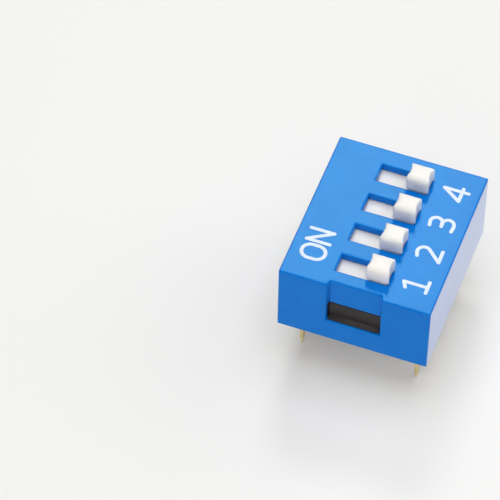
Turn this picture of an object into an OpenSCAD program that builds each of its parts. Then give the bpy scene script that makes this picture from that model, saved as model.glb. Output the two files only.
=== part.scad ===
// Four-position slide DIP switch for a through-hole circuit board, in millimetres.
// X runs along the row from position 1 to position 4, Y from the numbers to the ON side, Z is up.
// The origin is the middle of the terminal grid on the plane of the case's bottom rim.
// The sliders are drawn at their OFF end, on the numbers' side.

/* [Case] */
// Length of the case along the row of positions
case_l = 11.5; // [9.5:0.1:13.5]
// Width of the case across the sliders' travel
case_w = 9.8; // [8.2:0.1:12]
// Height of the case from its bottom rim to its top face
case_h = 5.3; // [4.4:0.1:6.4]
// Thickness of the four side walls at the rim
wall_t = 0.45; // [0.35:0.05:0.55]
// Thickness of the top wall, which is also the depth of the slots
top_t = 0.52; // [0.42:0.02:0.7]
// Length of each slot in the top wall, along the travel
slot_l = 3.34; // [3.1:0.02:3.5]
// Distance from each end of the case to the outer slider's plate
end_room = 0.94; // [0.9:0.01:1]

/* [End groove and windows] */
// Width of the groove's mouth on the end face by position 1, and of the window in each end
groove_w = 3.5; // [3:0.1:4]
// Depth of the groove into the end face
groove_d = 0.38; // [0.3:0.02:0.44]
// How far each side of the groove slants in towards its floor
groove_slant = 0.11; // [0.05:0.01:0.3]
// Height of the window in each end, above the ledge that the latch hooks over
window_h = 1.48; // [1.3:0.02:1.7]
// How far each window's top lies above the base's contact floor
window_over = 0.33; // [0.2:0.01:0.5]
// Gap between the wall behind the groove and the outer slider's plate
plate_end_gap = 0.13; // [0.08:0.01:0.2]
// How far the thick wall behind the groove runs past the groove's mouth on each side
groove_wall_side = 0.3; // [0.2:0.05:0.5]

/* [Sliders] */
// Length of each knob along the travel
knob_l = 1.51; // [1.4:0.01:1.6]
// Height of each knob above the top face
knob_h = 1.22; // [0.9:0.02:1.4]
// Radius of the knob's two long top edges
knob_long_r = 0.4; // [0.2:0.02:0.6]
// Radius of the top edges at the knob's two ends
knob_end_r = 0.24; // [0.1:0.01:0.4]
// Radius of the knob's upright edges
knob_side_r = 0.11; // [0.08:0.01:0.2]
// Depth of the hollow in the knob's two ends, which a pen's tip pushes against
knob_hollow = 0.12; // [0.05:0.01:0.16]
// How far the stem stays behind the hollow at each end of the knob
stem_inset = 0.015; // [0.005:0.005:0.05]
// How far the knob runs past its stem on each long side
knob_side_over = 0.03; // [0.01:0.01:0.06]
// Gap between the knob's underside and the case's top face
knob_top_gap = 0.03; // [0.02:0.01:0.06]
// Gap between the stem and each long side of its slot
stem_side_gap = 0.04; // [0.03:0.01:0.1]
// Gap left between the stem and the slot's end at each end of the travel
stem_end_gap = 0.03; // [0.02:0.01:0.06]
// How far the plate runs under the top wall on each side of its slot
plate_side = 0.325; // [0.2:0.025:0.4]
// Thickness of the slider's plate
plate_t = 0.8; // [0.6:0.05:0.9]
// How far the plate runs on past a slot that it covers
plate_cover = 0.1; // [0.05:0.05:0.3]
// Gap between the plate and the case's top wall
plate_gap = 0.03; // [0.02:0.01:0.06]

/* [Base] */
// Gap between the base and the case's side walls
base_gap = 0.05; // [0.03:0.01:0.1]
// Height of the base's underside above the rim
base_z = 0.85; // [0.7:0.05:1.1]
// Thickness of the base's ribs between the sliders
rib_t = 0.42; // [0.3:0.02:0.5]
// Gap between a rib of the base and the sliders' plates beside it
rib_gap = 0.06; // [0.03:0.01:0.1]
// Gap between the latch on each end of the base and the sides of its window
latch_side_gap = 0.09; // [0.03:0.01:0.15]
// How far the latch's upright face stands out of the end of the base
latch_out = 0.1; // [0.06:0.01:0.2]
// How far the lip at the latch's foot stays inside the case's end face
lip_inset = 0.08; // [0.02:0.01:0.15]
// Height of the lip's outer face
lip_face = 0.07; // [0.05:0.01:0.2]
// Rise of the lip's sloped top from its outer face to the latch's upright face
lip_rise = 0.1; // [0.05:0.01:0.25]
// Gap between the latch and the ledge under it, and the window's top over it
latch_gap = 0.07; // [0.03:0.01:0.12]
// How far the latch's root reaches back over the contact floor
latch_root = 0.25; // [0.15:0.05:0.3]

/* [Underside pocket] */
// Length of the pocket in the base along the row
pocket_l = 4.5; // [3.8:0.1:4.8]
// Width of the pocket across the row
pocket_w = 2.5; // [2:0.1:2.8]
// Height of the pocket's floor above the rim
pocket_z = 1.7; // [1.3:0.1:2]
// Thickness of the frame around the pocket
frame_t = 0.5; // [0.4:0.05:0.7]
// Height of the frame's lower edge above the rim
frame_z = 0.08; // [0.04:0.01:0.15]
// Thickness of the frame's thicker end wall
end_wall_t = 0.7; // [0.6:0.05:0.9]
// How far the thicker end wall runs past the frame on each side
end_wall_side = 0.12; // [0.05:0.01:0.2]
// Width of the notches where the pocket meets the thicker end wall
notch_w = 0.22; // [0.15:0.01:0.3]
// How far each notch runs out past the pocket's side
notch_d = 0.33; // [0.2:0.01:0.35]

/* [Sealing resin] */
// Height of the resin's open face above the rim
resin_z = 0.3; // [0.2:0.05:0.5]

/* [Terminals] */
// Distance from each long side of the case to the middle of the row of terminals beside it
row_inset = 1.09; // [1:0.01:1.2]
// Width of a terminal's leg along the row
leg_w = 0.5; // [0.4:0.05:0.6]
// Thickness of a terminal's leg
leg_t = 0.25; // [0.2:0.05:0.3]
// Length of the legs below the rim
leg_below = 3.8; // [3:0.1:4.2]
// Length of the legs' tapered tips
tip_l = 0.7; // [0.4:0.1:1]
// Width of the legs at the very tip
tip_w = 0.24; // [0.15:0.01:0.35]
// Thickness of the legs at the very tip
tip_t = 0.14; // [0.1:0.01:0.18]
// Width of a terminal's contact pad on the base
pad_w = 1; // [0.8:0.05:1.4]
// Thickness of a terminal's contact pad
pad_t = 0.2; // [0.15:0.01:0.25]
// Where the long pad of the numbers' row ends, past the middle of the case
long_pad_end = 0.3; // [0.2:0.05:0.35]
// Where the short pad of the ON row begins, past the middle of the case
short_pad_end = 0.8; // [0.7:0.05:1]
// Length of the narrow neck between a pad and its leg
neck_l = 0.4; // [0.3:0.05:0.6]

/* [Contact springs] */
// Width of each contact spring along the row
spring_w = 0.8; // [0.6:0.05:0.95]
// Thickness of each contact spring
spring_t = 0.12; // [0.08:0.01:0.15]
// Height of the spring's back above its soles
spring_h = 0.83; // [0.7:0.01:0.95]
// Length of the flat back of the spring that lies under the slider
spring_back = 0.9; // [0.7:0.05:1]
// Distance between the spring's two feet, middle to middle
feet_gap = 1.95; // [1.9:0.01:2]
// Length of each foot's flat sole
foot_l = 0.25; // [0.2:0.01:0.3]
// Length of each foot's turned-up toe
toe_l = 0.2; // [0.1:0.05:0.25]
// Rise of each foot's turned-up toe
toe_h = 0.15; // [0.05:0.01:0.2]
// Gap between the feet and the pads they run on
foot_gap = 0.02; // [0.01:0.01:0.04]
// Gap beside the spring's back in the slider's seat for it
seat_side_gap = 0.03; // [0.02:0.01:0.06]
// Gap past each end of the spring's back in the slider's seat for it
seat_end_gap = 0.1; // [0.08:0.01:0.15]

/* [Hidden] */

// Overshoot of cutting shapes past the faces they open
cut = 0.2;
// Room inside the case's walls
room_l = case_l - 2 * wall_t;
room_w = case_w - 2 * wall_t;
roof_z = case_h - top_t;
// Positions, spread evenly over the case with a rib of the base between each two
positions = 4;
rib_space = rib_t + 2 * rib_gap;
pitch = (case_l - 2 * end_room + rib_space) / positions;
plate_w = pitch - rib_space;
slot_w = plate_w - 2 * plate_side;
// Stems in the slots, their travel and their OFF place, and the knobs on them
stem_w = slot_w - 2 * stem_side_gap;
stem_l = knob_l - 2 * (knob_hollow + stem_inset);
travel = slot_l - stem_l - 2 * stem_end_gap;
off_y = -travel / 2;
knob_w = stem_w + 2 * knob_side_over;
knob_z = case_h + knob_top_gap;
knob_top_z = case_h + knob_h;
// Radius of the hollow in a knob's end, which spans the flat between the upright edges
hollow_span = knob_w - 2 * knob_side_r;
hollow_r = (hollow_span * hollow_span / 4 + knob_hollow * knob_hollow) / (2 * knob_hollow);
// Sliders' plates
plate_l = stem_l + 2 * (travel + stem_end_gap + plate_cover);
plate_top_z = roof_z - plate_gap;
plate_bottom_z = plate_top_z - plate_t;
// Springs on the terminals' pads, and the base's contact floor under the pads
seat_z = plate_bottom_z + spring_t;
seat_w = spring_w + 2 * seat_side_gap;
seat_l = spring_back + 2 * seat_end_gap;
foot_z = plate_bottom_z - spring_h;
pad_top_z = foot_z - foot_gap;
floor_z = pad_top_z - pad_t;
row_y = case_w / 2 - row_inset;
// Groove by position 1, and the window in each end with the ledge below it
groove_floor_x = case_l / 2 - groove_d;
groove_floor_w = groove_w - 2 * groove_slant;
groove_wall_x = case_l / 2 - end_room + plate_end_gap;
window_z = floor_z + window_over;
ledge_z = window_z - window_h;
// Base
base_l = room_l - 2 * base_gap;
base_w = room_w - 2 * base_gap;
latch_w = groove_w - 2 * latch_side_gap;
latch_x = base_l / 2 + latch_out;
lip_x = case_l / 2 - lip_inset;
latch_z = ledge_z + latch_gap;
latch_top_z = window_z - latch_gap;
// Underside pocket, centred a little off the middle so that the whole frame is central
pocket_x = (end_wall_t - frame_t) / 2;
pocket_lo_x = pocket_x - pocket_l / 2;
pocket_hi_x = pocket_x + pocket_l / 2;
frame_w = pocket_w + 2 * frame_t;
end_wall_w = frame_w + 2 * end_wall_side;

$fn = 48;

// Middle of a position along the row, numbered from 1
function position_x(n) = (n - (positions + 1) / 2) * pitch;

// Block centred in plan, from one height to another
module block(l, w, z0, z1) {
    translate([-l / 2, -w / 2, z0])
        cube([l, w, z1 - z0]);
}

// Profile drawn in X and Z, given a width along Y about the middle
module along_y(width) {
    translate([0, width / 2, 0])
        rotate([90, 0, 0])
            linear_extrude(height = width)
                children();
}

// Profile drawn in Y and Z, given a width along X about the middle
module along_x(width) {
    translate([-width / 2, 0, 0])
        rotate([90, 0, 90])
            linear_extrude(height = width)
                children();
}

// Groove in the end by position 1, from the window up
module groove() {
    translate([0, 0, window_z - cut])
        linear_extrude(height = case_h - window_z + 2 * cut)
            polygon([
                [-groove_floor_x, -groove_floor_w / 2],
                [-case_l / 2, -groove_w / 2],
                [-case_l / 2 - cut, -groove_w / 2],
                [-case_l / 2 - cut, groove_w / 2],
                [-case_l / 2, groove_w / 2],
                [-groove_floor_x, groove_floor_w / 2]
            ]);
}

// Thick wall behind the groove, inside the case
module groove_wall() {
    wall_w = groove_w + 2 * groove_wall_side;
    translate([-room_l / 2 - cut / 2, -wall_w / 2, window_z])
        cube([room_l / 2 - groove_wall_x + cut / 2, wall_w, roof_z - window_z + cut / 2]);
}

// Windows through both end walls, where the latches show
module windows() {
    block(case_l + 2 * cut, groove_w, ledge_z, window_z);
}

// Blue case, open below, with a slot for each knob
module case() {
    color([0.08, 0.36, 0.78])
        difference() {
            union() {
                difference() {
                    block(case_l, case_w, 0, case_h);
                    block(room_l, room_w, -cut, roof_z);
                }
                groove_wall();
            }
            groove();
            windows();
            for (n = [1:positions])
                translate([position_x(n), 0, 0])
                    block(slot_w, slot_l, roof_z - cut, case_h + cut);
        }
}

// Latch on the end of the base at the high X side, with a lip that hooks over the window's ledge
module latch() {
    along_y(latch_w)
        polygon([
            [base_l / 2 - latch_root, latch_z],
            [lip_x, latch_z],
            [lip_x, latch_z + lip_face],
            [latch_x, latch_z + lip_face + lip_rise],
            [latch_x, latch_top_z],
            [base_l / 2 - latch_root, latch_top_z]
        ]);
}

// Outside of the frame that shows through the resin on the underside
module frame_outline(z0, z1) {
    translate([pocket_lo_x - notch_w, -frame_w / 2, z0])
        cube([pocket_l + frame_t + notch_w, frame_w, z1 - z0]);
    translate([pocket_lo_x - end_wall_t, -end_wall_w / 2, z0])
        cube([end_wall_t, end_wall_w, z1 - z0]);
}

// Pocket in the underside, with a notch at two of its corners
module pocket() {
    translate([pocket_lo_x, -pocket_w / 2, frame_z - cut])
        cube([pocket_l, pocket_w, pocket_z - frame_z + cut]);
    translate([pocket_lo_x, -pocket_w / 2 - notch_d, frame_z - cut])
        cube([notch_w, pocket_w + 2 * notch_d, base_z - frame_z + cut]);
}

// Places of the legs in one row, drawn at the given side
module leg_holes(side, z0, z1) {
    for (n = [1:positions])
        translate([position_x(n), side * row_y, 0])
            block(leg_w, leg_t, z0, z1);
}

// Black base that carries the terminals, with ribs between the sliders
module base() {
    color([0.07, 0.07, 0.075])
        difference() {
            union() {
                block(base_l, base_w, base_z, floor_z);
                for (n = [1:positions - 1])
                    translate([position_x(n) + pitch / 2, 0, 0])
                        block(rib_t, base_w, floor_z - cut, roof_z);
                latch();
                mirror([1, 0, 0])
                    latch();
                frame_outline(frame_z, base_z + cut);
            }
            pocket();
            leg_holes(-1, base_z - cut, floor_z + cut);
            leg_holes(1, base_z - cut, floor_z + cut);
        }
}

// Black resin poured over the underside, round the frame and the legs
module resin_seal() {
    color([0.05, 0.05, 0.055])
        difference() {
            block(room_l, room_w, resin_z, base_z);
            frame_outline(resin_z - cut, base_z + cut);
            leg_holes(-1, resin_z - cut, base_z + cut);
            leg_holes(1, resin_z - cut, base_z + cut);
        }
}

// Leg of a terminal with a tapered tip, at the middle of the row
module leg() {
    intersection() {
        along_y(leg_t)
            polygon([
                [-leg_w / 2, floor_z],
                [-leg_w / 2, tip_l - leg_below],
                [-tip_w / 2, -leg_below],
                [tip_w / 2, -leg_below],
                [leg_w / 2, tip_l - leg_below],
                [leg_w / 2, floor_z]
            ]);
        along_x(leg_w)
            polygon([
                [-leg_t / 2, floor_z],
                [-leg_t / 2, tip_l - leg_below],
                [-tip_t / 2, -leg_below],
                [tip_t / 2, -leg_below],
                [leg_t / 2, tip_l - leg_below],
                [leg_t / 2, floor_z]
            ]);
    }
}

// Terminal on the low Y side, with its pad running in to the given Y
module terminal(n, pad_end) {
    pad_start = neck_l - row_y;
    color([0.83, 0.66, 0.3])
        translate([position_x(n), 0, 0]) {
            translate([0, -row_y, 0])
                leg();
            translate([-leg_w / 2, -row_y - leg_t / 2, floor_z])
                cube([leg_w, leg_t / 2 + neck_l, pad_t]);
            translate([-pad_w / 2, pad_start, floor_z])
                cube([pad_w, pad_end - pad_start, pad_t]);
        }
}

// Terminal of the numbers' row
module terminal_a(n) {
    terminal(n, long_pad_end);
}

// Terminal of the ON row, turned to the other side
module terminal_b(n) {
    mirror([0, 1, 0])
        terminal(n, -short_pad_end);
}

// Bar with two round upper edges along X, as high as the knob
module round_bar(l, w, r) {
    block(l, w, knob_z, knob_top_z - r);
    block(l, w - 2 * r, knob_z, knob_top_z);
    for (s = [-1, 1])
        translate([-l / 2, s * (w / 2 - r), knob_top_z - r])
            rotate([0, 90, 0])
                cylinder(r = r, h = l);
}

// Knob of a slider with its edges rounded and its two ends hollow
module knob() {
    difference() {
        intersection() {
            round_bar(knob_w, knob_l, knob_end_r);
            rotate([0, 0, 90])
                round_bar(knob_l, knob_w, knob_long_r);
            union() {
                block(knob_w, knob_l - 2 * knob_side_r, knob_z, knob_top_z);
                block(knob_w - 2 * knob_side_r, knob_l, knob_z, knob_top_z);
                for (sx = [-1, 1])
                    for (sy = [-1, 1])
                        translate([sx * (knob_w / 2 - knob_side_r), sy * (knob_l / 2 - knob_side_r), knob_z])
                            cylinder(r = knob_side_r, h = knob_top_z - knob_z);
            }
        }
        for (s = [-1, 1])
            translate([0, s * (knob_l / 2 - knob_hollow + hollow_r), knob_z - cut])
                cylinder(r = hollow_r, h = knob_top_z - knob_z + 2 * cut);
    }
}

// White slider: the knob, its stem in the slot, and a plate under the top wall with the spring's seat
module slider(n) {
    color([0.93, 0.92, 0.9])
        translate([position_x(n), off_y, 0]) {
            difference() {
                block(plate_w, plate_l, plate_bottom_z, plate_top_z);
                block(seat_w, seat_l, plate_bottom_z - cut, seat_z);
            }
            block(stem_w, stem_l, plate_top_z - cut, knob_z + cut);
            knob();
        }
}

// Spring under a slider: a flat back, two feet and their turned-up toes
module contact(n) {
    sole_in = feet_gap / 2 - foot_l / 2;
    sole_out = feet_gap / 2 + foot_l / 2;
    color([0.83, 0.66, 0.3])
        translate([position_x(n), off_y, 0])
            along_x(spring_w)
                polygon([
                    [-sole_out - toe_l, foot_z + toe_h],
                    [-sole_out, foot_z],
                    [-sole_in, foot_z],
                    [-spring_back / 2, plate_bottom_z],
                    [spring_back / 2, plate_bottom_z],
                    [sole_in, foot_z],
                    [sole_out, foot_z],
                    [sole_out + toe_l, foot_z + toe_h],
                    [sole_out + toe_l, foot_z + toe_h + spring_t],
                    [sole_out, foot_z + spring_t],
                    [sole_in, foot_z + spring_t],
                    [spring_back / 2, seat_z],
                    [-spring_back / 2, seat_z],
                    [-sole_in, foot_z + spring_t],
                    [-sole_out, foot_z + spring_t],
                    [-sole_out - toe_l, foot_z + toe_h + spring_t]
                ]);
}

case();
base();
resin_seal();
terminal_a(1);  // terminal_a1
terminal_a(2);  // terminal_a2
terminal_a(3);  // terminal_a3
terminal_a(4);  // terminal_a4
terminal_b(1);  // terminal_b1
terminal_b(2);  // terminal_b2
terminal_b(3);  // terminal_b3
terminal_b(4);  // terminal_b4
slider(1);  // slider_1
slider(2);  // slider_2
slider(3);  // slider_3
slider(4);  // slider_4
contact(1);  // contact_1
contact(2);  // contact_2
contact(3);  // contact_3
contact(4);  // contact_4
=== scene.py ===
"""Looks of a four-position slide DIP switch: a blue case with white knobs, standing on gold pins."""
import math

import bmesh
import bpy
from mathutils import Matrix, Vector, geometry, noise


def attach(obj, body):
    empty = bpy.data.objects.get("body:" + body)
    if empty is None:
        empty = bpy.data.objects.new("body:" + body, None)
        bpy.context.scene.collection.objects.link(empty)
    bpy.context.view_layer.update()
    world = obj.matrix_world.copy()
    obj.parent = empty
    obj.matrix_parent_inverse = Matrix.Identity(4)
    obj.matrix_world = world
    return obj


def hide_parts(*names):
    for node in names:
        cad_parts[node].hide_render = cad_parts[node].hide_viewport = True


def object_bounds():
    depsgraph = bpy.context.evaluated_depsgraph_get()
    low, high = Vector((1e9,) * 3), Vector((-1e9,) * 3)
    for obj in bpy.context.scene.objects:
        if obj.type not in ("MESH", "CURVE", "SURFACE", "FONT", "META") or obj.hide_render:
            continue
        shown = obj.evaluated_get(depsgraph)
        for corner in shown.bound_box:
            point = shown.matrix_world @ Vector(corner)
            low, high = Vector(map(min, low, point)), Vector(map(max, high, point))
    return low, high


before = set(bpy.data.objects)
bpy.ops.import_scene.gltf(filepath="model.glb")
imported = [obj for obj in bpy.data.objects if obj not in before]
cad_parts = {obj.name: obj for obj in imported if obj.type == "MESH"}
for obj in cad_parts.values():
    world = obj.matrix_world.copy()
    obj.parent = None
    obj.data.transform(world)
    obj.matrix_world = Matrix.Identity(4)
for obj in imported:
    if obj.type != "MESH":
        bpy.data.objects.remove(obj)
cad_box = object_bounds()

# Units and positions
MM = 0.001
POSITIONS = (1, 2, 3, 4)

# Camera, in millimetres and degrees, for a square picture
VIEW_AZIMUTH = -70.72
VIEW_ELEVATION = 51.61
VIEW_ROLL = 1.1
VIEW_DISTANCE = 231.47
VIEW_TARGET = (-0.075, 8.739, -1.101)
PICTURE_SIDE = 500
FOCAL_PIXELS = 3643.4
SENSOR = 36.0
CLIP_START = 5

# Light: softboxes on a dome, by azimuth from +X and elevation, with width, height, radiance and colour
SKY_LEVEL = 0.02
DOME_RADIUS = 260
WHITE_LIGHT = (1, 1, 1)
COOL_LIGHT = (0.985, 1, 1.015)
WARM_LIGHT = (1, 0.965, 0.92)
SOFTBOXES = {
    "top_softbox": (0, 90, 180, 180, 3.4, COOL_LIGHT),
    "high_softbox": (185, 60, 240, 120, 1.4, WARM_LIGHT),
    "front_softbox": (175, 14, 320, 130, 1.95, WARM_LIGHT),
    "right_softbox": (270, 50, 320, 160, 0.65, WARM_LIGHT),
    "side_softbox": (315, 25, 320, 160, 1.25, WHITE_LIGHT),
    "back_softbox": (19, 51, 70, 54, 12, WHITE_LIGHT),
}

# Floor, with the share of it that shows white whatever light falls on it
FLOOR_SIDE = 3000
FLOOR_CELLS = 8
FLOOR_VEIL = 0.22

# Darker and lighter screen colours of each surface, and the white that the floor shows
CASE_BLUE = (0, 112, 208), (3, 118, 213)
SLIDER_WHITE = (244, 240, 234), (249, 245, 239)
BASE_BLACK = (42, 38, 39), (51, 46, 46)
RESIN_BLACK = (38, 37, 36), (62, 60, 54)
TERMINAL_GOLD = (222, 200, 138), (250, 238, 196)
CONTACT_GOLD = (200, 168, 96), (240, 216, 150)
INK_WHITE = (212, 228, 247), (230, 240, 251)
FLOOR_WHITE = (243, 243, 242), (245, 245, 244)
VEIL_WHITE = (255, 253, 251)

# Finish: sizes of clouds, grain and streaks in millimetres, how far streaks are drawn out,
# how far light goes into the sliders, and the sheen of the case's long sides
PLASTIC_CLOUD = 1.6
RESIN_CLOUD, RESIN_GRAIN = 1.8, 0.25
GOLD_CLOUD, GOLD_STREAK, STREAK_LENGTH = 0.9, 0.05, 14
INK_THINNING = 0.22
FLOOR_CLOUD = 60
SCATTER = 0.5
SIDE_SHEEN = 0.9

# Edge radii in millimetres, with the steps of outer and other roundings
CASE_EDGE = 0.1
INNER_EDGE = 0.025
BASE_EDGE = 0.03
PIN_EDGE = 0.03
OUTER_STEPS, SMALL_STEPS = 3, 2

# Limits in mesh work: lengths in millimetres, angles, and the share of a normal that makes a face a side
WELD = 1e-4
ON_FACE = 1e-3
FLAT_ANGLE = math.radians(0.5)
CELL_ANGLE = math.radians(1)
SHARP_ANGLE = math.radians(40)
SIDE_FACING = 0.7

# Softening of the sliders' knobs: cell and foot in millimetres, passes and their strength
KNOB_CELL = 0.04
KNOB_FOOT = 0.06
KNOB_PASSES = 12
KNOB_SMOOTH = 0.5

# Printed legends in millimetres
INK_HALF = 0.115
INK_HEIGHT = 0.012
INK_SINK = 0.004
INK_JOIN = 1e-4
ARC_STEPS = 20
CAP_STEPS = 10
NUMBER_Y = -3.31
WORD_Y = 3.375
O_X = -3.62
N_X = -2.31

# Sealing resin in millimetres, the open face's mean and lowest heights over the rim
RESIN_CELL = 0.09
RESIN_LEVEL = 0.36
RESIN_LOWEST = 0.08
FRAME_INSET = 0.25
FRAME_FOOT = 0.01
# Height, length and noise layer of its swells
RESIN_WAVE = 0.06, 2.6, 1.7
RESIN_RIPPLE = 0.02, 0.7, 5.1
RESIN_GRIT = 0.05, 0.17, 9.3
# Middle and reach of the gritty patch
PATCH_MIDDLE = 3.9, 1.2
PATCH_REACH = 1.1, 1.7
# Height and reach of its creep up walls, frame and pins
WALL_CREEP = 0.12, 0.25
FRAME_CREEP = 0.1, 0.3
PIN_CREEP = 0.16, 0.45


def linear(red, green, blue):
    """Linear colour of an 8-bit screen colour."""
    def one(value):
        value /= 255
        return value / 12.92 if value <= 0.04045 else ((value + 0.055) / 1.055) ** 2.4
    return (one(red), one(green), one(blue), 1)


# Materials
def new_material(name):
    """A node material, its tree, its shader and its object coordinates."""
    material = bpy.data.materials.new(name)
    material.use_nodes = True
    tree = material.node_tree
    coords = tree.nodes.new("ShaderNodeTexCoord").outputs["Object"]
    return material, tree, tree.nodes["Principled BSDF"], coords


def noise_value(tree, coords, size, detail, stretch=(1, 1, 1)):
    """Noise with features of about the given size in millimetres, drawn out by the stretch."""
    mapping = tree.nodes.new("ShaderNodeMapping")
    mapping.inputs["Scale"].default_value = [1 / s for s in stretch]
    tree.links.new(coords, mapping.inputs["Vector"])
    node = tree.nodes.new("ShaderNodeTexNoise")
    node.inputs["Scale"].default_value = 1 / (size * MM)
    node.inputs["Detail"].default_value = detail
    tree.links.new(mapping.outputs["Vector"], node.inputs["Vector"])
    return node.outputs["Fac"]


def ranged(tree, value, low, high, source=(0.3, 0.7)):
    """A value mapped from its source range to low and high."""
    node = tree.nodes.new("ShaderNodeMapRange")
    node.inputs["From Min"].default_value = source[0]
    node.inputs["From Max"].default_value = source[1]
    node.inputs["To Min"].default_value = low
    node.inputs["To Max"].default_value = high
    tree.links.new(value, node.inputs["Value"])
    return node.outputs["Result"]


def mixed(tree, factor, colours):
    """A colour between two screen colours."""
    node = tree.nodes.new("ShaderNodeMix")
    node.data_type = "RGBA"
    tree.links.new(factor, node.inputs["Factor"])
    for socket, colour in zip("AB", colours):
        target = [i for i in node.inputs if i.name == socket and i.type == "RGBA"][0]
        target.default_value = linear(*colour)
    return [o for o in node.outputs if o.type == "RGBA"][0]


def add_bump(tree, shader, height, depth, strength):
    """Gives a shader bump of a depth in millimetres."""
    node = tree.nodes.new("ShaderNodeBump")
    node.inputs["Strength"].default_value = strength
    node.inputs["Distance"].default_value = depth * MM
    tree.links.new(height, node.inputs["Height"])
    tree.links.new(node.outputs["Normal"], shader.inputs["Normal"])


def plastic(name, colours, grain, rough, bump, ior):
    """Moulded plastic with a fine satin grain and a faint cloudiness, and its shader."""
    material, tree, shader, coords = new_material(name)
    cloud = noise_value(tree, coords, PLASTIC_CLOUD, 4)
    fine = noise_value(tree, coords, grain, 3)
    tree.links.new(mixed(tree, ranged(tree, cloud, 0, 1), colours), shader.inputs["Base Color"])
    tree.links.new(ranged(tree, fine, *rough), shader.inputs["Roughness"])
    add_bump(tree, shader, fine, bump, 0.5)
    shader.inputs["IOR"].default_value = ior
    return material, shader


def case_material(name, sheen):
    """Blue moulded plastic, with a share of pale sheen where the mould was left dull."""
    material, shader = plastic(name, CASE_BLUE, grain=0.12, rough=(0.13, 0.19), bump=0.003, ior=1.25)
    shader.inputs["Specular Tint"].default_value = (0.34, 1, 0.95, 1)
    shader.inputs["Sheen Weight"].default_value = sheen
    shader.inputs["Sheen Roughness"].default_value = 0.35
    return material


def slider_material():
    """White moulded plastic that light goes a little way into."""
    material, shader = plastic(
        "slider_white", SLIDER_WHITE, grain=0.15, rough=(0.32, 0.46), bump=0.003, ior=1.3)
    shader.inputs["Subsurface Weight"].default_value = 1
    shader.inputs["Subsurface Radius"].default_value = (1, 1, 1)
    shader.inputs["Subsurface Scale"].default_value = SCATTER * MM
    return material


def base_material():
    return plastic("base_black", BASE_BLACK, grain=0.14, rough=(0.36, 0.5), bump=0.005, ior=1.3)[0]


def resin_material():
    """Poured black resin: glossy, cloudy, with dull patches."""
    material, tree, shader, coords = new_material("resin_black")
    cloud = noise_value(tree, coords, RESIN_CLOUD, 4)
    fine = noise_value(tree, coords, RESIN_GRAIN, 4)
    tree.links.new(mixed(tree, ranged(tree, cloud, 0, 1), RESIN_BLACK), shader.inputs["Base Color"])
    tree.links.new(ranged(tree, cloud, 0.12, 0.34), shader.inputs["Roughness"])
    add_bump(tree, shader, fine, 0.01, 0.4)
    shader.inputs["Coat Weight"].default_value = 0.3
    shader.inputs["Coat Roughness"].default_value = 0.12
    return material


def gold_material(name, colours, along):
    """Thin gold plate on drawn strip, with streaks along the strip."""
    material, tree, shader, coords = new_material(name)
    cloud = noise_value(tree, coords, GOLD_CLOUD, 3)
    streak = noise_value(tree, coords, GOLD_STREAK, 3, along)
    tree.links.new(mixed(tree, ranged(tree, cloud, 0, 1), colours), shader.inputs["Base Color"])
    tree.links.new(ranged(tree, streak, 0.2, 0.36), shader.inputs["Roughness"])
    add_bump(tree, shader, streak, 0.004, 0.4)
    shader.inputs["Metallic"].default_value = 1
    return material


def ink_material():
    """White printing ink, a little thin in places."""
    material, tree, shader, coords = new_material("legend_ink")
    thin = noise_value(tree, coords, INK_THINNING, 4)
    tree.links.new(mixed(tree, ranged(tree, thin, 0, 1), INK_WHITE), shader.inputs["Base Color"])
    tree.links.new(ranged(tree, thin, 0.55, 0.4), shader.inputs["Roughness"])
    add_bump(tree, shader, thin, 0.003, 0.4)
    return material


# Meshes, worked on in millimetres
def node_box(node, keep=None):
    """Lowest and highest corners in millimetres of a CAD node, or of the points of it that keep accepts."""
    points = [v.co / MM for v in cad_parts[node].data.vertices]
    if keep:
        points = [p for p in points if keep(p)]
    return (Vector([min(p[i] for p in points) for i in range(3)]),
            Vector([max(p[i] for p in points) for i in range(3)]))


def node_mesh(node):
    """A CAD node's solid as a clean mesh in millimetres, with flat faces in one piece."""
    bm = bmesh.new()
    bm.from_mesh(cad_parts[node].data)
    bm.transform(Matrix.Scale(1 / MM, 4))
    bmesh.ops.remove_doubles(bm, verts=bm.verts, dist=WELD)
    bmesh.ops.dissolve_limit(bm, angle_limit=FLAT_ANGLE, verts=bm.verts, edges=bm.edges)
    return bm


def sharp_edges(bm, keep=None):
    """Edges between faces that meet at a sharp angle, or those of them that keep accepts."""
    found = [e for e in bm.edges if e.is_manifold and e.calc_face_angle() > SHARP_ANGLE]
    return [e for e in found if keep(e)] if keep else found


def round_edges(bm, edges, radius, steps):
    bmesh.ops.bevel(bm, geom=edges, offset=radius, offset_type="OFFSET", segments=steps,
                    profile=0.5, affect="EDGES", clamp_overlap=True)


def add_piece(name, bm, material, body, replaced=()):
    """Turns a mesh in millimetres into a piece that rides on a body."""
    bm.transform(Matrix.Scale(MM, 4))
    bmesh.ops.recalc_face_normals(bm, faces=bm.faces)
    mesh = bpy.data.meshes.new(name)
    bm.to_mesh(mesh)
    bm.free()
    for face in mesh.polygons:
        face.use_smooth = True
    mesh.materials.append(material)
    obj = bpy.data.objects.new(name, mesh)
    bpy.context.scene.collection.objects.link(obj)
    even = obj.modifiers.new("even_normals", "WEIGHTED_NORMAL")
    even.weight = 100
    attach(obj, body)
    if replaced:
        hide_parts(*replaced)
    return obj


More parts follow.
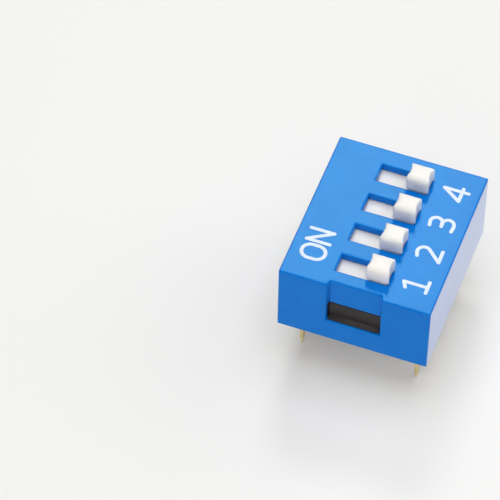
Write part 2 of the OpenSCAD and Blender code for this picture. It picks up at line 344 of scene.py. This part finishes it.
def make_case(material, side_material):
    """The case with its outer edges rounded, its inner edges a little, and its two long sides duller."""
    low, high = node_box("case")
    bm = node_mesh("case")

    def on_outside(edge):
        first, second = (v.co for v in edge.verts)
        return any(abs(first[i] - side[i]) < ON_FACE and abs(second[i] - side[i]) < ON_FACE
                   for side in (low, high) for i in range(3))

    round_edges(bm, sharp_edges(bm, on_outside), CASE_EDGE, OUTER_STEPS)
    round_edges(bm, sharp_edges(bm), INNER_EDGE, SMALL_STEPS)
    bm.normal_update()
    for face in bm.faces:
        if abs(face.normal.y) > SIDE_FACING and abs(face.calc_center_median().y) > high.y - CASE_EDGE:
            face.material_index = 1
    case = add_piece("case_shell", bm, material, "housing", ["case"])
    case.data.materials.append(side_material)


def make_rounded(node, name, radius, material, body):
    """A CAD node's solid with its sharp edges rounded."""
    bm = node_mesh(node)
    round_edges(bm, sharp_edges(bm), radius, SMALL_STEPS)
    add_piece(name, bm, material, body, [node])


def make_slider(n, material):
    """A slider with its knob softened, as a small moulding is."""
    top = node_box("case")[1].z
    bm = node_mesh("slider_%d" % n)
    mesh = bpy.data.meshes.new("slider")
    bm.to_mesh(mesh)
    bm.free()
    obj = bpy.data.objects.new("slider", mesh)
    bpy.context.scene.collection.objects.link(obj)
    cells = obj.modifiers.new("cells", "REMESH")
    cells.mode = "VOXEL"
    cells.voxel_size = KNOB_CELL
    soft = bmesh.new()
    soft.from_object(obj, bpy.context.evaluated_depsgraph_get())
    bpy.data.objects.remove(obj)
    knob = [v for v in soft.verts if v.co.z > top + KNOB_FOOT]
    for _ in range(KNOB_PASSES):
        bmesh.ops.smooth_vert(soft, verts=knob, factor=KNOB_SMOOTH,
                              use_axis_x=True, use_axis_y=True, use_axis_z=True)
    plate = [v for v in soft.verts if v.co.z < top]
    edges = [e for e in soft.edges if all(v.co.z < top for v in e.verts)]
    bmesh.ops.dissolve_limit(soft, angle_limit=CELL_ANGLE, verts=plate, edges=edges)
    add_piece("knob_%d" % n, soft, material, "slide_%d" % n, ["slider_%d" % n])


def pin_centres():
    """Middles of the legs where they pass the rim, in millimetres."""
    centres = []
    for row in "ab":
        for n in POSITIONS:
            low, high = node_box("terminal_%s%d" % (row, n), lambda p: p.z < 0)
            centres.append(((low.x + high.x) / 2, (low.y + high.y) / 2))
    return centres


def swell(x, y, height, length, layer):
    return height * noise.noise(Vector((x / length, y / length, layer)))


def creep(distance, height, reach):
    return height * math.exp(-distance / reach)


def resin_height(x, y, low, high, frame_low, frame_high, pins):
    """Height of the resin's open face: wavy, gritty in one patch, and drawn up on walls, frame and pins."""
    wall = min(x - low.x, high.x - x, y - low.y, high.y - y)
    side_x = max(frame_low.x - x, x - frame_high.x, 0)
    side_y = max(frame_low.y - y, y - frame_high.y, 0)
    drawn = creep(wall, *WALL_CREEP) + creep(math.hypot(side_x, side_y), *FRAME_CREEP)
    for pin_x, pin_y in pins:
        drawn += PIN_CREEP[0] * math.exp(-(math.hypot(x - pin_x, y - pin_y) / PIN_CREEP[1]) ** 2)
    patch_x = (x - PATCH_MIDDLE[0]) / PATCH_REACH[0]
    patch_y = (y - PATCH_MIDDLE[1]) / PATCH_REACH[1]
    patch = math.exp(-(patch_x ** 2 + patch_y ** 2))
    waves = swell(x, y, *RESIN_WAVE) + swell(x, y, *RESIN_RIPPLE) + patch * swell(x, y, *RESIN_GRIT)
    return max(RESIN_LEVEL + waves - drawn, RESIN_LOWEST)


def make_resin(material):
    """The poured resin as a wavy closed skin round the frame of the base."""
    low, high = node_box("resin_seal")
    lowest = node_box("base")[0].z
    frame_low, frame_high = node_box("base", lambda p: p.z < lowest + FRAME_FOOT)
    pins = pin_centres()
    columns = round((high.x - low.x) / RESIN_CELL)
    rows = round((high.y - low.y) / RESIN_CELL)
    bm = bmesh.new()
    grid = {}
    for i in range(columns + 1):
        for j in range(rows + 1):
            x = low.x + (high.x - low.x) * i / columns
            y = low.y + (high.y - low.y) * j / rows
            z = resin_height(x, y, low, high, frame_low, frame_high, pins)
            grid[i, j] = bm.verts.new((x, y, z))
    for i in range(columns):
        for j in range(rows):
            corners = [grid[i, j], grid[i, j + 1], grid[i + 1, j + 1], grid[i + 1, j]]
            middle = (corners[0].co + corners[2].co) / 2
            in_x = frame_low.x + FRAME_INSET < middle.x < frame_high.x - FRAME_INSET
            in_y = frame_low.y + FRAME_INSET < middle.y < frame_high.y - FRAME_INSET
            if not (in_x and in_y):
                bm.faces.new(corners)
    bmesh.ops.delete(bm, geom=[v for v in bm.verts if not v.link_faces], context="VERTS")
    raised = bmesh.ops.extrude_face_region(bm, geom=list(bm.faces), use_keep_orig=True)
    for item in raised["geom"]:
        if isinstance(item, bmesh.types.BMVert):
            item.co.z = high.z
    add_piece("resin_skin", bm, material, "housing", ["resin_seal"])


# Legends
def arc(centre, radii, start, end):
    """Points along an arc, in degrees from the right, turned from start to end."""
    points = []
    for k in range(ARC_STEPS + 1):
        turn = math.radians(start + (end - start) * k / ARC_STEPS)
        points.append((centre[0] + radii[0] * math.cos(turn), centre[1] + radii[1] * math.sin(turn)))
    return points


# Strokes of each character in millimetres from its middle
GLYPHS = {
    "1": [[(-0.42, 0.56), (0, 0.76)], [(0, 0.76), (0, -0.76)], [(-0.44, -0.76), (0.42, -0.76)]],
    "2": [[(-0.37, 0.66)] + arc((0, 0.34), (0.42, 0.42), 115, -38) + [(-0.46, -0.76)],
          [(-0.46, -0.76), (0.42, -0.76)]],
    "3": [[(-0.36, 0.7)] + arc((-0.02, 0.37), (0.39, 0.39), 110, -90) + [(-0.24, -0.02)],
          arc((-0.02, -0.37), (0.42, 0.39), 90, -100) + [(-0.44, -0.72)]],
    "4": [[(0.28, 0.76), (-0.5, -0.39)], [(-0.485, -0.4), (0.54, -0.4)], [(0.28, 0.74), (0.28, -0.82)]],
    "O": [arc((0, 0.2), (0.53, 0.555), 0, 180) + arc((0, -0.2), (0.53, 0.555), 180, 360) + [(0.53, 0.2)]],
    "N": [[(-0.455, -0.755), (-0.455, 0.755)], [(-0.455, 0.755), (0.455, -0.755)],
          [(0.455, -0.755), (0.455, 0.755)]],
}


def stroke_outlines(points, half):
    """Outline of a round-ended stroke along points, or the outlines of the steps of a closed stroke."""
    closed = math.dist(points[0], points[-1]) < INK_JOIN
    line = [Vector(p) for p in (points[:-1] if closed else points)]
    count = len(line)
    left, right = [], []
    for k, point in enumerate(line):
        before = line[k - 1] if closed or k else point
        after = line[(k + 1) % count] if closed or k + 1 < count else point
        along = (after - before).normalized()
        across = Vector((-along.y, along.x)) * half
        left.append(point + across)
        right.append(point - across)
    if closed:
        steps = [(k, (k + 1) % count) for k in range(count)]
        return [[right[k], right[n], left[n], left[k]] for k, n in steps]
    ends = []
    for point, side in ((line[-1], right[-1]), (line[0], left[0])):
        spoke = side - point
        turns = [Matrix.Rotation(math.pi * k / CAP_STEPS, 2) for k in range(1, CAP_STEPS)]
        ends.append([point + turn @ spoke for turn in turns])
    return [right + ends[0] + left[::-1] + ends[1]]


def make_legend(glyph, place, material):
    """A printed character: its strokes joined in the plane, as a film of ink on the case's top."""
    top = node_box("case")[1].z
    corners, outlines = [], []
    for points in GLYPHS[glyph]:
        for outline in stroke_outlines(points, INK_HALF):
            outlines.append(list(range(len(corners), len(corners) + len(outline))))
            corners += outline
    spots, _, triangles, _, _, sources = geometry.delaunay_2d_cdt(corners, [], outlines, 1, INK_JOIN)
    bm = bmesh.new()
    verts = [bm.verts.new((place[0] + p.x, place[1] + p.y, top - INK_SINK)) for p in spots]
    film = [bm.faces.new([verts[i] for i in t]) for t, source in zip(triangles, sources) if source]
    bmesh.ops.delete(bm, geom=[v for v in bm.verts if not v.link_faces], context="VERTS")
    raised = bmesh.ops.extrude_face_region(bm, geom=film, use_keep_orig=True)
    for item in raised["geom"]:
        if isinstance(item, bmesh.types.BMVert):
            item.co.z = top + INK_HEIGHT
    obj = add_piece("legend_" + glyph, bm, material, "housing")
    obj.modifiers.clear()
    for face in obj.data.polygons:
        face.use_smooth = False


# Stage
def make_floor(level):
    """A wide pale floor at the pins' tips, which shows a share of white to the eye and in gloss."""
    material, tree, shader, coords = new_material("floor_white")
    cloud = noise_value(tree, coords, FLOOR_CLOUD, 2)
    tree.links.new(mixed(tree, ranged(tree, cloud, 0, 1), FLOOR_WHITE), shader.inputs["Base Color"])
    shader.inputs["Roughness"].default_value = 0.9
    shader.inputs["Specular IOR Level"].default_value = 0.1
    path = tree.nodes.new("ShaderNodeLightPath")
    seen = path.outputs["Is Camera Ray"]
    for ray in ("Is Glossy Ray", "Is Transmission Ray"):
        either = tree.nodes.new("ShaderNodeMath")
        either.operation = "MAXIMUM"
        tree.links.new(seen, either.inputs[0])
        tree.links.new(path.outputs[ray], either.inputs[1])
        seen = either.outputs["Value"]
    white = tree.nodes.new("ShaderNodeEmission")
    white.inputs["Color"].default_value = linear(*VEIL_WHITE)
    veil = tree.nodes.new("ShaderNodeMixShader")
    tree.links.new(ranged(tree, seen, 0, FLOOR_VEIL, (0, 1)), veil.inputs["Fac"])
    tree.links.new(shader.outputs["BSDF"], veil.inputs[1])
    tree.links.new(white.outputs["Emission"], veil.inputs[2])
    tree.links.new(veil.outputs["Shader"], tree.nodes["Material Output"].inputs["Surface"])
    bm = bmesh.new()
    bmesh.ops.create_grid(bm, x_segments=FLOOR_CELLS, y_segments=FLOOR_CELLS, size=FLOOR_SIDE * MM / 2)
    mesh = bpy.data.meshes.new("floor")
    bm.to_mesh(mesh)
    bm.free()
    mesh.materials.append(material)
    floor = bpy.data.objects.new("floor", mesh)
    floor.location.z = level
    bpy.context.scene.collection.objects.link(floor)


def softbox(name, azimuth, elevation, width, height, level, colour):
    """A soft lamp on the dome, of sizes in millimetres, turned to the origin."""
    turn, rise = math.radians(azimuth), math.radians(elevation)
    lamp = bpy.data.lights.new(name, "AREA")
    lamp.shape = "RECTANGLE"
    lamp.size = width * MM
    lamp.size_y = height * MM
    lamp.energy = level * math.pi * lamp.size * lamp.size_y
    lamp.color = colour
    obj = bpy.data.objects.new(name, lamp)
    away = Vector((math.cos(turn) * math.cos(rise), math.sin(turn) * math.cos(rise), math.sin(rise)))
    obj.location = away * DOME_RADIUS * MM
    obj.rotation_euler = (-away).to_track_quat("-Z", "Y").to_euler()
    bpy.context.scene.collection.objects.link(obj)


def make_light():
    world = bpy.data.worlds.new("studio")
    world.use_nodes = True
    sky = world.node_tree.nodes["Background"]
    sky.inputs["Color"].default_value = (1, 1, 1, 1)
    sky.inputs["Strength"].default_value = SKY_LEVEL
    bpy.context.scene.world = world
    for name, place in SOFTBOXES.items():
        softbox(name, *place)


def make_camera():
    azimuth, elevation, roll = (math.radians(a) for a in (VIEW_AZIMUTH, VIEW_ELEVATION, VIEW_ROLL))
    back = Vector((math.sin(azimuth) * math.cos(elevation), -math.cos(azimuth) * math.cos(elevation),
                   math.sin(elevation)))
    right = Vector((math.cos(azimuth), math.sin(azimuth), 0))
    up = back.cross(right)
    turned_right = right * math.cos(roll) + up * math.sin(roll)
    turned_up = up * math.cos(roll) - right * math.sin(roll)
    data = bpy.data.cameras.new("camera")
    data.sensor_width = SENSOR
    data.lens = FOCAL_PIXELS / PICTURE_SIDE * SENSOR
    data.clip_start = CLIP_START * MM
    camera = bpy.data.objects.new("camera", data)
    axes = Matrix((turned_right, turned_up, back)).transposed().to_4x4()
    camera.matrix_world = Matrix.Translation((Vector(VIEW_TARGET) + back * VIEW_DISTANCE) * MM) @ axes
    bpy.context.scene.collection.objects.link(camera)
    bpy.context.scene.camera = camera


def make_switch():
    white = slider_material()
    black = base_material()
    gold = gold_material("terminal_gold", TERMINAL_GOLD, (1, 1, STREAK_LENGTH))
    spring = gold_material("contact_gold", CONTACT_GOLD, (1, STREAK_LENGTH, 1))
    ink = ink_material()
    make_case(case_material("case_blue", 0), case_material("case_side", SIDE_SHEEN))
    make_rounded("base", "base_body", BASE_EDGE, black, "housing")
    make_resin(resin_material())
    for n in POSITIONS:
        for row in "ab":
            name = "terminal_%s%d" % (row, n)
            make_rounded(name, "pin_%s%d" % (row, n), PIN_EDGE, gold, "housing")
        make_slider(n, white)
        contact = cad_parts["contact_%d" % n].data
        contact.materials.clear()
        contact.materials.append(spring)
        low, high = node_box("slider_%d" % n)
        make_legend(str(n), ((low.x + high.x) / 2, NUMBER_Y), ink)
    make_legend("O", (O_X, WORD_Y), ink)
    make_legend("N", (N_X, WORD_Y), ink)


make_switch()
make_floor(cad_box[0].z)
make_light()
make_camera()
bpy.context.scene.view_settings.view_transform = "Standard"
